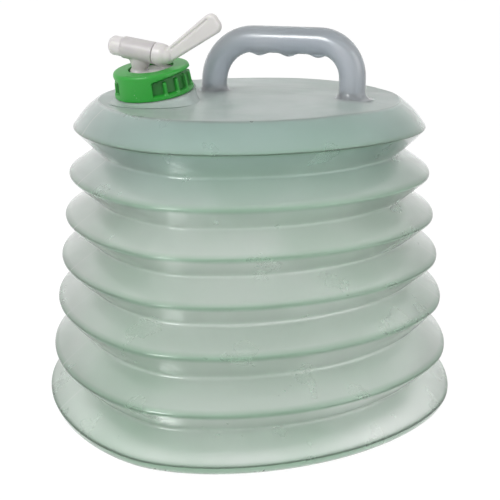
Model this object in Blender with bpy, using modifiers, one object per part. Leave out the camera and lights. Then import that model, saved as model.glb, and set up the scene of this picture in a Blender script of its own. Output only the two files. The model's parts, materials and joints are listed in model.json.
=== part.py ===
"""Collapsible water container with an accordion body, a carrying handle and a tap.

Metres, +Z up. The origin lies on the ground below the middle of the body, X runs
in the plane of the handle, and the cap stands on the -X, -Y side of it.
"""
import math

import bmesh
import bpy
from mathutils import Matrix, Vector

# Fits
GAP = 0.0003            # between pieces that touch, or that are one moulding
RUNNING_FIT = 0.0003    # radial play of the tap's plug in its barrel
BORE_FIT = 0.0008       # radial play between the neck's thread and the ring's bore
CUT_PAST = 0.0020       # how far a cutter passes the face that it opens

# Plan of the body: a rounded diamond with its corners on the X and Y axes
SIDES = 60
PLAN_EXPONENT = 1.78
TOP_HALF_X = 0.1217
PLAN_RATIO = 1.08       # half width in Y over half width in X
FLARE = 0.207           # how much wider the lowest crest is than the top one

# Accordion: the crests from the ground up, as far apart as it stands drawn out
FOOT_HEIGHT = 0.008
PLEAT_HEIGHTS = (0.0313, 0.0348, 0.0297, 0.0280, 0.0284, 0.0313)
ROOT_DEPTH = 0.019
ROOT_LEVEL = 0.46       # height of a pleat's root, as a share of the pleat
WALL = 0.0012
WALL_ACROSS = 0.0020    # the slanting wall, measured level

# Base
FOOT_INSET = 0.007
FOOT_WIDTH = 0.020
HEEL_INSET = 0.0025     # where the outside turns in towards the foot
HEEL_HEIGHT = 0.0032
FLOOR_LIFT = 0.003

# Top
PANEL_RISE = 0.0167     # top panel above the top crest
PANEL_SHARE = 0.86      # width of the top panel over that of the top crest
SHOULDER_BULGE = 0.0012

# Neck, on a boss that rises from the level panel to a leaning land
NECK_X = -0.0449
NECK_Y = -0.0507
NECK_RISE = 0.0065      # the land's middle above the panel
NECK_LEAN_OUT = math.radians(10.28)     # towards -Y
NECK_LEAN_BACK = math.radians(2.84)     # towards -X
NECK_RADIUS = 0.0193
NECK_WALL = 0.0023
NECK_HEIGHT = 0.0101
BOSS_RIM = 0.0012       # how far the land shows outside the screw ring
BOSS_FOOT_X = -0.0434
BOSS_FOOT_Y = -0.0539
BOSS_FOOT_RADIUS = 0.0300
BOSS_STEPS = 4
BOSS_HOLLOW = 1.7       # above 1, the boss's flank is hollow
THREAD_WIRE = 0.0011
THREAD_PITCH = 0.0030
THREAD_TURNS = 2.0
THREAD_START = 0.0022
THREAD_STEPS = 24       # in one turn

# Handle
HANDLE_LEFT_X = -0.0262
HANDLE_RIGHT_X = 0.0740
HANDLE_TUBE = 0.0088
HANDLE_WALL = 0.0015
HANDLE_RISE = 0.0385    # middle of the grip above the panel
HANDLE_LEFT_BEND = 0.0300
HANDLE_RIGHT_BEND = 0.0230
HANDLE_SIDES = 16
BEND_STEPS = 7
BAR_STEPS = 18
BUMP_PITCH = 0.0210
BUMP_COUNT = 3
BUMP_HALF_LENGTH = 0.0076
BUMP_HEIGHT = 0.0020
BUMP_MIDDLE_X = 0.0290

# Closure: washer, tap flange and screw ring
WASHER_HEIGHT = 0.0015
WASHER_LAP = 0.0018     # how far the washer reaches inside the neck's bore
FLANGE_LAP = 0.0005     # how far the tap's flange and the washer reach past the neck
FLANGE_HEIGHT = 0.0018
RING_CEILING = 0.0023
RING_LAP = 0.0048       # how far the ring's ceiling reaches over the flange
RING_TOP_WALL = 0.0036
RING_FOOT_WALL = 0.0049
RING_EDGE = 0.0010
GRIP_DEPTH = 0.0013
GRIP_START = math.radians(-62.5)
GRIP_SPAN = math.radians(80.0)
GRIP_ZONES = 2
POCKET_STEPS = 4
GRIP_RIBS = 3
GRIP_RIB_WIDTH = 0.0011
GRIP_MARGIN = 0.0026

# Tap body: a stem that leans on its flange, and a barrel across its top
STEM_OFFSET = -0.0087
STEM_LEAN = math.radians(10.96)
STEM_LENGTH = 0.0139
STEM_RADIUS = 0.0048
STEM_BORE = 0.0029
BARREL_RADIUS = 0.0071
BARREL_LENGTH = 0.0230
PLUG_RADIUS = 0.0051
PLUG_BORE = 0.0027

# Tap key: plug, hub and lever in one piece, and the spout on the plug's nose
NOSE_RADIUS = 0.0039
NOSE_LENGTH = 0.0063
SPOUT_RADIUS = 0.0063
SPOUT_LENGTH = 0.0091
SPOUT_LIP = 0.0018      # radius of the rounding at its mouth
HUB_RADIUS = 0.0071
HUB_REACH = 0.0040      # from the barrel's end to the middle of the hub's dome
LEVER_FOOT_X = 0.0041   # from the middle of the dome, along the barrel
LEVER_FOOT_Z = -0.0009
LEVER_ANGLE = math.radians(40.5)
LEVER_LENGTH = 0.0460
LEVER_FOOT_WIDTH = 0.0078
LEVER_TIP_WIDTH = 0.0131
LEVER_THICKNESS = 0.0051
LEVER_CORNER = 0.0045
LEVER_CORNER_STEPS = 5
LEVER_EDGE = 0.0008

# Worked out from the dimensions above
PLEAT_COUNT = len(PLEAT_HEIGHTS)
CREST_LEVELS = [FOOT_HEIGHT + sum(PLEAT_HEIGHTS[:count]) for count in range(PLEAT_COUNT + 1)]
TOP_CREST_Z = CREST_LEVELS[-1]
PANEL_Z = TOP_CREST_Z + PANEL_RISE
SEAT_Z = PANEL_Z + NECK_RISE
WASHER_FOOT = NECK_HEIGHT + GAP
FLANGE_FOOT = WASHER_FOOT + WASHER_HEIGHT + GAP
FLANGE_TOP = FLANGE_FOOT + FLANGE_HEIGHT
CEILING_FOOT = FLANGE_TOP + GAP
RING_TOP = CEILING_FOOT + RING_CEILING
RING_FOOT = GAP
NECK_BORE = NECK_RADIUS - NECK_WALL
WASHER_BORE = NECK_BORE - WASHER_LAP
FLANGE_RADIUS = NECK_RADIUS + FLANGE_LAP
RING_WINDOW = FLANGE_RADIUS - RING_LAP
RING_BORE = NECK_RADIUS + THREAD_WIRE + BORE_FIT
RING_TOP_RADIUS = RING_BORE + RING_TOP_WALL
RING_FOOT_RADIUS = RING_BORE + RING_FOOT_WALL
BOSS_TOP_RADIUS = RING_FOOT_RADIUS + BOSS_RIM

# Colours: base colour, roughness, metallic
SAGE = (0.56, 0.64, 0.58, 1.0)
LAVENDER = (0.60, 0.62, 0.68, 1.0)
GREEN = (0.05, 0.38, 0.07, 1.0)
WHITE = (0.82, 0.81, 0.79, 1.0)
MILKY = (0.72, 0.72, 0.70, 1.0)
BLACK = (0.05, 0.05, 0.05, 1.0)

# Fineness of the meshes
CURVE_STEPS = 32
TURN_STEPS = 48
DOME_STEPS = 15         # odd, so that no row of the dome lies on its collar's rim
SHARP_ANGLE = math.radians(35.0)
MERGE = 0.00001


def clear_scene():
    """Remove whatever the file holds."""
    for old in list(bpy.data.objects):
        bpy.data.objects.remove(old, do_unlink=True)


def new_collection(name):
    """Add a collection under the scene's own."""
    collection = bpy.data.collections.new(name)
    bpy.context.scene.collection.children.link(collection)
    return collection


def new_material(name, colour, roughness):
    """A plain plastic."""
    material = bpy.data.materials.new(name)
    material.use_nodes = True
    shader = material.node_tree.nodes["Principled BSDF"]
    shader.inputs["Base Color"].default_value = colour
    shader.inputs["Roughness"].default_value = roughness
    shader.inputs["Metallic"].default_value = 0.0
    material.diffuse_color = colour
    return material


def new_object(name, bm, collection, place=None, parent=None):
    """Store a bmesh as a mesh object, shaded smooth with its sharp edges kept."""
    bmesh.ops.recalc_face_normals(bm, faces=bm.faces)
    mesh = bpy.data.meshes.new(name)
    bm.to_mesh(mesh)
    bm.free()
    mesh.shade_smooth()
    mesh.set_sharp_from_angle(angle=SHARP_ANGLE)
    piece = bpy.data.objects.new(name, mesh)
    collection.objects.link(piece)
    piece.parent = parent
    if place is not None:
        piece.matrix_local = place
    return piece


def new_empty(name, place, collection, parent=None):
    """A frame that pieces are placed in."""
    empty = bpy.data.objects.new(name, None)
    empty.empty_display_size = 0.02
    collection.objects.link(empty)
    empty.parent = parent
    empty.matrix_local = place
    return empty


def as_cutter(piece):
    """Hide a piece that only shapes another."""
    piece.hide_render = True
    piece.display_type = 'WIRE'
    return piece


def add_boolean(piece, other, operation):
    """Cut or join one piece with another."""
    modifier = piece.modifiers.new(operation.title() + " " + other.name, 'BOOLEAN')
    modifier.operation = operation
    modifier.object = other
    modifier.solver = 'EXACT'


def plan_radius(angle, half_x, half_y):
    """Distance from the middle to the outline of a rounded diamond."""
    across = (abs(math.cos(angle)) / half_x) ** PLAN_EXPONENT
    along = (abs(math.sin(angle)) / half_y) ** PLAN_EXPONENT
    return (across + along) ** (-1.0 / PLAN_EXPONENT)


def plan_loop(half_x, inset, level):
    """One turn round the body at a height, drawn in by inset."""
    points = []
    for step in range(SIDES):
        angle = 2.0 * math.pi * step / SIDES
        radius = plan_radius(angle, half_x, half_x * PLAN_RATIO) - inset
        points.append(Vector((radius * math.cos(angle), radius * math.sin(angle), level)))
    return points


def loft(loops, closed):
    """Skin a row of loops, joined end to end or closed by a face at each end."""
    bm = bmesh.new()
    rows = [[bm.verts.new(point) for point in points] for points in loops]
    pairs = list(zip(rows, rows[1:]))
    if closed:
        pairs.append((rows[-1], rows[0]))
    for lower, upper in pairs:
        for here in range(len(lower)):
            after = (here + 1) % len(lower)
            bm.faces.new((lower[here], lower[after], upper[after], upper[here]))
    if not closed:
        bm.faces.new(rows[0])
        bm.faces.new(rows[-1])
    return bm


def turned(name, profile, collection, place, parent):
    """A Screw modifier round Z on an outline of (radius, height) pairs, top to bottom outside."""
    bm = bmesh.new()
    points = [bm.verts.new((radius, 0.0, height)) for radius, height in profile]
    for here, point in enumerate(points):
        bm.edges.new((point, points[(here + 1) % len(points)]))
    mesh = bpy.data.meshes.new(name)
    bm.to_mesh(mesh)
    bm.free()
    piece = bpy.data.objects.new(name, mesh)
    collection.objects.link(piece)
    piece.parent = parent
    piece.matrix_local = place
    screw = piece.modifiers.new("Turn", 'SCREW')
    screw.steps = TURN_STEPS
    screw.render_steps = screw.steps
    screw.use_merge_vertices = True
    screw.merge_threshold = MERGE
    screw.use_smooth_shade = True
    return piece


def rod(radius, start, end, axis='Z'):
    """A cylinder between two places on an axis."""
    bm = bmesh.new()
    turn = Matrix.Rotation(math.radians(90.0), 4, 'Y') if axis == 'X' else Matrix.Identity(4)
    if axis == 'Y':
        turn = Matrix.Rotation(math.radians(-90.0), 4, 'X')
    middle = Matrix.Translation((0.0, 0.0, (start + end) / 2.0))
    bmesh.ops.create_cone(bm, cap_ends=True, segments=CURVE_STEPS, radius1=radius,
                          radius2=radius, depth=end - start, matrix=turn @ middle)
    return bm


def crest_half_x(index):
    """Half width in X of a crest, counted from the ground."""
    share = 1.0 - (CREST_LEVELS[index] - FOOT_HEIGHT) / (TOP_CREST_Z - FOOT_HEIGHT)
    return TOP_HALF_X * (1.0 + FLARE * share)


def make_base_pan(parts, material):
    """The floor on its foot, up to the lowest crest."""
    half_x = crest_half_x(0)
    rim = FOOT_HEIGHT - GAP / 2.0
    inner_foot = FOOT_INSET + FOOT_WIDTH
    loops = [
        plan_loop(half_x, inner_foot + FLOOR_LIFT, FLOOR_LIFT),
        plan_loop(half_x, inner_foot, 0.0),
        plan_loop(half_x, FOOT_INSET, 0.0),
        plan_loop(half_x, HEEL_INSET, HEEL_HEIGHT),
        plan_loop(half_x, 0.0, rim),
        plan_loop(half_x, WALL_ACROSS, rim),
        plan_loop(half_x, HEEL_INSET + WALL, HEEL_HEIGHT + WALL / 2.0),
        plan_loop(half_x, FOOT_INSET + WALL / 2.0, WALL),
        plan_loop(half_x, inner_foot - WALL / 2.0, WALL),
        plan_loop(half_x, inner_foot + FLOOR_LIFT - WALL / 2.0, FLOOR_LIFT + WALL),
    ]
    piece = new_object("base_pan", loft(loops, closed=False), parts)
    piece.data.materials.append(material)


def hinge_loops():
    """Height, half width and inset of every crest and root, from the ground up."""
    loops = []
    for index, height in enumerate(PLEAT_HEIGHTS):
        low = crest_half_x(index)
        high = crest_half_x(index + 1)
        loops.append((CREST_LEVELS[index], low, 0.0))
        loops.append((CREST_LEVELS[index] + height * ROOT_LEVEL, low + (high - low) * ROOT_LEVEL,
                      ROOT_DEPTH))
    loops.append((TOP_CREST_Z, TOP_HALF_X, 0.0))
    return loops


def make_flanks(parts, material):
    """The accordion's wall in slanting bands, parted at its living hinges."""
    hinges = hinge_loops()
    for index, (low, high) in enumerate(zip(hinges, hinges[1:])):
        bottom, low_half_x, low_inset = low
        top, high_half_x, high_inset = high
        foot = GAP / 2.0
        head = top - bottom - GAP / 2.0
        loops = [
            plan_loop(low_half_x, low_inset, foot),
            plan_loop(high_half_x, high_inset, head),
            plan_loop(high_half_x, high_inset + WALL_ACROSS, head),
            plan_loop(low_half_x, low_inset + WALL_ACROSS, foot),
        ]
        place = Matrix.Translation((0.0, 0.0, bottom))
        piece = new_object("flank_%02d" % (index + 1), loft(loops, closed=True), parts, place)
        piece.data.materials.append(material)


def make_shoulder(parts, material):
    """The slanting band from the top crest up to the panel."""
    rim = TOP_CREST_Z + GAP / 2.0
    edge = TOP_HALF_X * PANEL_SHARE
    middle = (TOP_HALF_X + edge) / 2.0
    middle_level = (PANEL_Z + rim) / 2.0
    loops = [
        plan_loop(TOP_HALF_X, 0.0, rim),
        plan_loop(middle, -SHOULDER_BULGE, middle_level),
        plan_loop(edge, 0.0, PANEL_Z),
        plan_loop(edge, 0.0, PANEL_Z - WALL),
        plan_loop(middle, WALL_ACROSS - SHOULDER_BULGE, middle_level),
        plan_loop(TOP_HALF_X, WALL_ACROSS, rim),
    ]
    piece = new_object("shoulder", loft(loops, closed=True), parts)
    piece.data.materials.append(material)


def make_top_panel(parts, cutters, material):
    """The panel inside the shoulder, open below the neck's boss and the handle's feet."""
    edge = TOP_HALF_X * PANEL_SHARE
    loops = [plan_loop(edge, GAP, PANEL_Z), plan_loop(edge, GAP, PANEL_Z - WALL)]
    piece = new_object("top_panel", loft(loops, closed=False), parts)
    piece.data.materials.append(material)
    through = WALL + CUT_PAST
    tube = HANDLE_TUBE - HANDLE_WALL
    holes = (
        ("boss_cutter", BOSS_FOOT_RADIUS + GAP, BOSS_FOOT_X, BOSS_FOOT_Y),
        ("handle_left_cutter", tube, HANDLE_LEFT_X, 0.0),
        ("handle_right_cutter", tube, HANDLE_RIGHT_X, 0.0),
    )
    for name, radius, x, y in holes:
        hole = new_object(name, rod(radius, -through, CUT_PAST), cutters,
                          Matrix.Translation((x, y, PANEL_Z)))
        add_boolean(piece, as_cutter(hole), 'DIFFERENCE')


def make_thread(collection, cutters, seat):
    """A helical wire as a closed mesh, to be joined to the neck."""
    curve = bpy.data.curves.new("thread_path", 'CURVE')
    curve.dimensions = '3D'
    curve.bevel_depth = THREAD_WIRE
    curve.bevel_resolution = 1
    curve.use_fill_caps = True
    path = curve.splines.new('POLY')
    count = round(THREAD_TURNS * THREAD_STEPS) + 1
    path.points.add(count - 1)
    for step in range(count):
        turns = THREAD_TURNS * step / (count - 1)
        angle = 2.0 * math.pi * turns
        path.points[step].co = (NECK_RADIUS * math.cos(angle), NECK_RADIUS * math.sin(angle),
                                THREAD_START + THREAD_PITCH * turns, 1.0)
    guide = bpy.data.objects.new("thread_path", curve)
    collection.objects.link(guide)
    bpy.context.view_layer.update()
    evaluated = guide.evaluated_get(bpy.context.evaluated_depsgraph_get())
    mesh = bpy.data.meshes.new_from_object(evaluated)
    bpy.data.objects.remove(guide, do_unlink=True)
    bm = bmesh.new()
    bm.from_mesh(mesh)
    bmesh.ops.remove_doubles(bm, verts=bm.verts, dist=MERGE)
    return as_cutter(new_object("neck_thread", bm, cutters, Matrix.Identity(4), seat))


def round_loop(radius, height):
    """One turn round the neck's axis."""
    points = []
    for step in range(TURN_STEPS):
        angle = 2.0 * math.pi * step / TURN_STEPS
        points.append(Vector((radius * math.cos(angle), radius * math.sin(angle), height)))
    return points


def seat_place():
    """Where the boss's land stands, and how it leans."""
    lean = Matrix.Rotation(NECK_LEAN_OUT, 4, 'X') @ Matrix.Rotation(-NECK_LEAN_BACK, 4, 'Y')
    return Matrix.Translation((NECK_X, NECK_Y, SEAT_Z)) @ lean


def boss_loop(share, depth):
    """One turn round the boss, from its level foot at share 0 up to the leaning land at 1."""
    to_seat = seat_place().inverted()
    foot = Vector((BOSS_FOOT_X, BOSS_FOOT_Y, PANEL_Z - depth))
    points = []
    for step in range(TURN_STEPS):
        angle = 2.0 * math.pi * step / TURN_STEPS
        outward = Vector((math.cos(angle), math.sin(angle), 0.0))
        low = to_seat @ (foot + outward * (BOSS_FOOT_RADIUS - depth))
        high = outward * (BOSS_TOP_RADIUS - depth)
        place = low.lerp(high, share)
        place.z = low.z + (-depth - low.z) * share ** BOSS_HOLLOW
        points.append(place)
    return points


def make_neck(parts, cutters, seat, material):
    """The threaded neck on its boss, a shell of even wall that is open below."""
    shares = [step / BOSS_STEPS for step in range(BOSS_STEPS + 1)]
    loops = [boss_loop(share, 0.0) for share in shares]
    loops += [
        round_loop(NECK_RADIUS, 0.0),
        round_loop(NECK_RADIUS, NECK_HEIGHT),
        round_loop(NECK_BORE, NECK_HEIGHT),
        round_loop(NECK_BORE, -WALL),
    ]
    loops += [boss_loop(share, WALL) for share in reversed(shares)]
    piece = new_object("neck", loft(loops, closed=True), parts, Matrix.Identity(4), seat)
    add_boolean(piece, make_thread(parts, cutters, seat), 'UNION')
    piece.data.materials.append(material)


def handle_path():
    """Stations along the handle: a point, the way on, and the share of a finger bump."""
    top = PANEL_Z + HANDLE_RISE
    stations = []
    left_turn = Vector((HANDLE_LEFT_X + HANDLE_LEFT_BEND, 0.0, top - HANDLE_LEFT_BEND))
    right_turn = Vector((HANDLE_RIGHT_X - HANDLE_RIGHT_BEND, 0.0, top - HANDLE_RIGHT_BEND))
    foot = PANEL_Z + GAP
    stations.append((Vector((HANDLE_LEFT_X, 0.0, foot)), Vector((0.0, 0.0, 1.0))))
    for step in range(BEND_STEPS):
        angle = math.pi - math.pi / 2.0 * step / BEND_STEPS
        outward = Vector((math.cos(angle), 0.0, math.sin(angle)))
        ahead = Vector((outward.z, 0.0, -outward.x))
        stations.append((left_turn + outward * HANDLE_LEFT_BEND, ahead))
    for step in range(BAR_STEPS + 1):
        share = step / BAR_STEPS
        x = left_turn.x + (right_turn.x - left_turn.x) * share
        stations.append((Vector((x, 0.0, top)), Vector((1.0, 0.0, 0.0))))
    for step in range(1, BEND_STEPS + 1):
        angle = math.pi / 2.0 - math.pi / 2.0 * step / BEND_STEPS
        outward = Vector((math.cos(angle), 0.0, math.sin(angle)))
        ahead = Vector((outward.z, 0.0, -outward.x))
        stations.append((right_turn + outward * HANDLE_RIGHT_BEND, ahead))
    stations.append((Vector((HANDLE_RIGHT_X, 0.0, foot)), Vector((0.0, 0.0, -1.0))))
    return stations


def bump_share(x):
    """How far a finger bump stands out below the grip at this place."""
    share = 0.0
    for count in range(BUMP_COUNT):
        middle = BUMP_MIDDLE_X + (count - (BUMP_COUNT - 1) / 2.0) * BUMP_PITCH
        away = abs(x - middle) / BUMP_HALF_LENGTH
        if away < 1.0:
            share = max(share, 0.5 + 0.5 * math.cos(math.pi * away))
    return share


def handle_loop(station, radius, bump):
    """One section of the tube, square to its path, with the bump on its inner side."""
    point, ahead = station
    outward = Vector((-ahead.z, 0.0, ahead.x))
    sideways = Vector((0.0, 1.0, 0.0))
    points = []
    for step in range(HANDLE_SIDES):
        angle = 2.0 * math.pi * step / HANDLE_SIDES
        inner = max(0.0, -math.cos(angle))
        up = (radius + bump * inner * inner) * math.cos(angle)
        points.append(point + outward * up + sideways * (radius * math.sin(angle)))
    return points


def make_handle(parts, material):
    """The hollow handle, open into the container at both feet."""
    stations = handle_path()
    outer = []
    for station in stations:
        bump = BUMP_HEIGHT * bump_share(station[0].x)
        outer.append(handle_loop(station, HANDLE_TUBE, bump))
    fewer = stations[:-1:2] + stations[-1:]
    inner = [handle_loop(station, HANDLE_TUBE - HANDLE_WALL, 0.0) for station in reversed(fewer)]
    piece = new_object("handle", loft(outer + inner, closed=True), parts)
    piece.data.materials.append(material)


def make_washer(parts, seat, material):
    """The flat seal on the neck's rim."""
    top = WASHER_FOOT + WASHER_HEIGHT
    profile = [
        (WASHER_BORE, top),
        (FLANGE_RADIUS, top),
        (FLANGE_RADIUS, WASHER_FOOT),
        (WASHER_BORE, WASHER_FOOT),
    ]
    piece = turned("sealing_washer", profile, parts, Matrix.Identity(4), seat)
    piece.data.materials.append(material)


def grip_cutter(cutters, seat):
    """The pockets between the ribs of the screw ring's grips, as one cutter."""
    bm = bmesh.new()
    pocket_count = GRIP_RIBS + 1
    rib_angle = GRIP_RIB_WIDTH / RING_FOOT_RADIUS
    pocket = (GRIP_SPAN - GRIP_RIBS * rib_angle) / pocket_count
    low = RING_FOOT + GRIP_MARGIN
    high = RING_TOP - GRIP_MARGIN
    floor = RING_TOP_RADIUS - GRIP_DEPTH
    outside = RING_FOOT_RADIUS + GRIP_DEPTH
    for zone in range(GRIP_ZONES):
        zone_start = GRIP_START + 2.0 * math.pi * zone / GRIP_ZONES
        for count in range(pocket_count):
            turn = Matrix.Rotation(zone_start + count * (pocket + rib_angle), 3, 'Z')
            section = ((floor, low), (outside, low), (outside, high), (floor, high))
            corners = [bm.verts.new(turn @ Vector((radius, 0.0, z))) for radius, z in section]
            face = bm.faces.new(corners)
            bmesh.ops.spin(bm, geom=[face], cent=(0.0, 0.0, 0.0), axis=(0.0, 0.0, 1.0),
                           angle=pocket, steps=POCKET_STEPS, use_merge=False)
    bmesh.ops.remove_doubles(bm, verts=bm.verts, dist=MERGE)
    return as_cutter(new_object("grip_cutter", bm, cutters, Matrix.Identity(4), seat))


def make_ring(parts, cutters, seat, material):
    """The screw ring that clamps the tap's flange on the neck."""
    profile = [
        (RING_WINDOW, RING_TOP),
        (RING_TOP_RADIUS - RING_EDGE, RING_TOP),
        (RING_TOP_RADIUS, RING_TOP - RING_EDGE),
        (RING_FOOT_RADIUS - RING_EDGE, RING_FOOT + GRIP_MARGIN),
        (RING_FOOT_RADIUS, RING_FOOT + GRIP_MARGIN / 2.0),
        (RING_FOOT_RADIUS, RING_FOOT),
        (RING_BORE, RING_FOOT),
        (RING_BORE, CEILING_FOOT),
        (RING_WINDOW, CEILING_FOOT),
    ]
    piece = turned("screw_ring", profile, parts, Matrix.Identity(4), seat)
    add_boolean(piece, grip_cutter(cutters, seat), 'DIFFERENCE')
    piece.data.materials.append(material)


def make_tap_body(parts, cutters, seat, tap, material):
    """Flange, stem and barrel in one piece, with the way through for the water."""
    flange = rod(FLANGE_RADIUS, FLANGE_FOOT, FLANGE_TOP)
    piece = new_object("tap_body", flange, parts, Matrix.Identity(4), seat)
    piece.data.materials.append(material)
    sunk = FLANGE_HEIGHT / 2.0
    stem = new_object("stem_solid", rod(STEM_RADIUS, -STEM_LENGTH - sunk, 0.0), cutters,
                      Matrix.Identity(4), tap)
    add_boolean(piece, as_cutter(stem), 'UNION')
    half = BARREL_LENGTH / 2.0
    barrel = new_object("barrel_solid", rod(BARREL_RADIUS, -half, half, 'X'), cutters,
                        Matrix.Identity(4), tap)
    add_boolean(piece, as_cutter(barrel), 'UNION')
    past = half + CUT_PAST
    bore = new_object("barrel_bore", rod(PLUG_RADIUS + RUNNING_FIT, -past, past, 'X'), cutters,
                      Matrix.Identity(4), tap)
    add_boolean(piece, as_cutter(bore), 'DIFFERENCE')
    drop = STEM_LENGTH + (FLANGE_HEIGHT + CUT_PAST) / math.cos(STEM_LEAN)
    passage = new_object("stem_bore", rod(STEM_BORE, -drop, 0.0), cutters, Matrix.Identity(4), tap)
    add_boolean(piece, as_cutter(passage), 'DIFFERENCE')


def lever_mesh():
    """The paddle: a tapering plate with a round end, drawn along X and thick in Y."""
    bm = bmesh.new()
    outline = [(0.0, -LEVER_FOOT_WIDTH / 2.0)]
    reach = LEVER_LENGTH - LEVER_CORNER
    lift = LEVER_TIP_WIDTH / 2.0 - LEVER_CORNER
    for side, first in ((-1.0, -90.0), (1.0, 0.0)):
        for step in range(LEVER_CORNER_STEPS + 1):
            angle = math.radians(first + 90.0 * step / LEVER_CORNER_STEPS)
            x = reach + LEVER_CORNER * math.cos(angle)
            outline.append((x, side * lift + LEVER_CORNER * math.sin(angle)))
    outline.append((0.0, LEVER_FOOT_WIDTH / 2.0))
    half = LEVER_THICKNESS / 2.0
    face = bm.faces.new([bm.verts.new((x, -half, z)) for x, z in outline])
    grown = bmesh.ops.extrude_face_region(bm, geom=[face])
    far = [item for item in grown["geom"] if isinstance(item, bmesh.types.BMVert)]
    bmesh.ops.translate(bm, verts=far, vec=(0.0, LEVER_THICKNESS, 0.0))
    rim = [edge for edge in bm.edges if abs(edge.verts[0].co.y - edge.verts[1].co.y) < half]
    bmesh.ops.bevel(bm, geom=rim, offset=LEVER_EDGE, segments=2, affect='EDGES', profile=0.5,
                    material=-1)
    return bm


def make_tap_key(parts, cutters, tap, material):
    """Plug, hub and lever in one piece, with a way through the plug to its nose."""
    half = BARREL_LENGTH / 2.0
    hub_x = half + GAP + HUB_REACH
    plug = rod(PLUG_RADIUS, -half, hub_x, 'X')
    piece = new_object("tap_key", plug, parts, Matrix.Identity(4), tap)
    piece.data.materials.append(material)
    nose = new_object("nose_solid", rod(NOSE_RADIUS, -half - NOSE_LENGTH, 0.0, 'X'), cutters,
                      Matrix.Identity(4), tap)
    add_boolean(piece, as_cutter(nose), 'UNION')
    collar = new_object("hub_solid", rod(HUB_RADIUS, half + GAP, hub_x, 'X'), cutters,
                        Matrix.Identity(4), tap)
    add_boolean(piece, as_cutter(collar), 'UNION')
    bm = bmesh.new()
    bmesh.ops.create_uvsphere(bm, u_segments=CURVE_STEPS, v_segments=DOME_STEPS,
                              radius=HUB_RADIUS, matrix=Matrix.Rotation(math.radians(90.0), 4, 'Y'))
    everything = bm.verts[:] + bm.edges[:] + bm.faces[:]
    bmesh.ops.bisect_plane(bm, geom=everything, plane_co=(-HUB_REACH / 2.0, 0.0, 0.0),
                           plane_no=(-1.0, 0.0, 0.0), clear_outer=True)
    bmesh.ops.holes_fill(bm, edges=bm.edges[:])
    dome = new_object("dome_solid", bm, cutters, Matrix.Translation((hub_x, 0.0, 0.0)), tap)
    add_boolean(piece, as_cutter(dome), 'UNION')
    place = Matrix.Translation((hub_x + LEVER_FOOT_X, 0.0, LEVER_FOOT_Z))
    lever = new_object("lever_solid", lever_mesh(), cutters,
                       place @ Matrix.Rotation(-LEVER_ANGLE, 4, 'Y'), tap)
    add_boolean(piece, as_cutter(lever), 'UNION')
    way = new_object("plug_bore", rod(PLUG_BORE, -half - NOSE_LENGTH - CUT_PAST, 0.0, 'X'), cutters,
                     Matrix.Identity(4), tap)
    add_boolean(piece, as_cutter(way), 'DIFFERENCE')
    port = new_object("plug_port", rod(PLUG_BORE, -PLUG_RADIUS - CUT_PAST, 0.0, 'Y'), cutters,
                      Matrix.Identity(4), tap)
    add_boolean(piece, as_cutter(port), 'DIFFERENCE')


def make_spout(parts, tap, material):
    """The outlet, pressed on the plug's nose outside the barrel."""
    end = -BARREL_LENGTH / 2.0 - GAP
    bore = NOSE_RADIUS + RUNNING_FIT
    eased = SPOUT_LIP * (1.0 - math.cos(math.pi / 4.0))
    profile = [
        (bore, SPOUT_LENGTH),
        (SPOUT_RADIUS - SPOUT_LIP, SPOUT_LENGTH),
        (SPOUT_RADIUS - eased, SPOUT_LENGTH - eased),
        (SPOUT_RADIUS, SPOUT_LENGTH - SPOUT_LIP),
        (SPOUT_RADIUS, 0.0),
        (bore, 0.0),
    ]
    place = Matrix.Translation((end, 0.0, 0.0)) @ Matrix.Rotation(math.radians(-90.0), 4, 'Y')
    piece = turned("spout", profile, parts, place, tap)
    piece.data.materials.append(material)


def main():
    """Build every piece."""
    clear_scene()
    parts = new_collection("water_container")
    cutters = new_collection("cutters")
    body = new_material("body_ldpe", SAGE, 0.25)
    grip = new_material("handle_ldpe", LAVENDER, 0.25)
    green = new_material("ring_plastic", GREEN, 0.35)
    white = new_material("key_plastic", WHITE, 0.40)
    milky = new_material("tap_plastic", MILKY, 0.40)
    rubber = new_material("washer_rubber", BLACK, 0.80)
    seat = new_empty("neck_seat", seat_place(), cutters)
    up_stem = Matrix.Translation((STEM_OFFSET, 0.0, FLANGE_TOP)) @ Matrix.Rotation(STEM_LEAN, 4, 'Y')
    tap = new_empty("tap_axes", up_stem @ Matrix.Translation((0.0, 0.0, STEM_LENGTH)), cutters, seat)
    make_base_pan(parts, body)
    make_flanks(parts, body)
    make_shoulder(parts, body)
    make_top_panel(parts, cutters, body)
    make_neck(parts, cutters, seat, body)
    make_handle(parts, grip)
    make_washer(parts, seat, rubber)
    make_ring(parts, cutters, seat, green)
    make_tap_body(parts, cutters, seat, tap, milky)
    make_tap_key(parts, cutters, tap, white)
    make_spout(parts, tap, white)


main()
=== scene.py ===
"""Looks of a collapsible water container: accordion body, hollow handle, screw ring and tap.

Metres, +Z up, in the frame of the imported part: the origin lies on the ground below the middle
of the body, and X runs in the plane of the handle, with the cap on the -X, -Y side of it.
"""

import json
import logging
import math
from dataclasses import dataclass
from enum import Enum
from typing import Callable, Iterable, Sequence

import bmesh
import bpy
from bmesh.types import BMEdge, BMesh, BMVert
from bpy.types import Material, Mesh, Node, NodeSocket, NodeTree, Object
from mathutils import Matrix, Vector, noise


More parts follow.
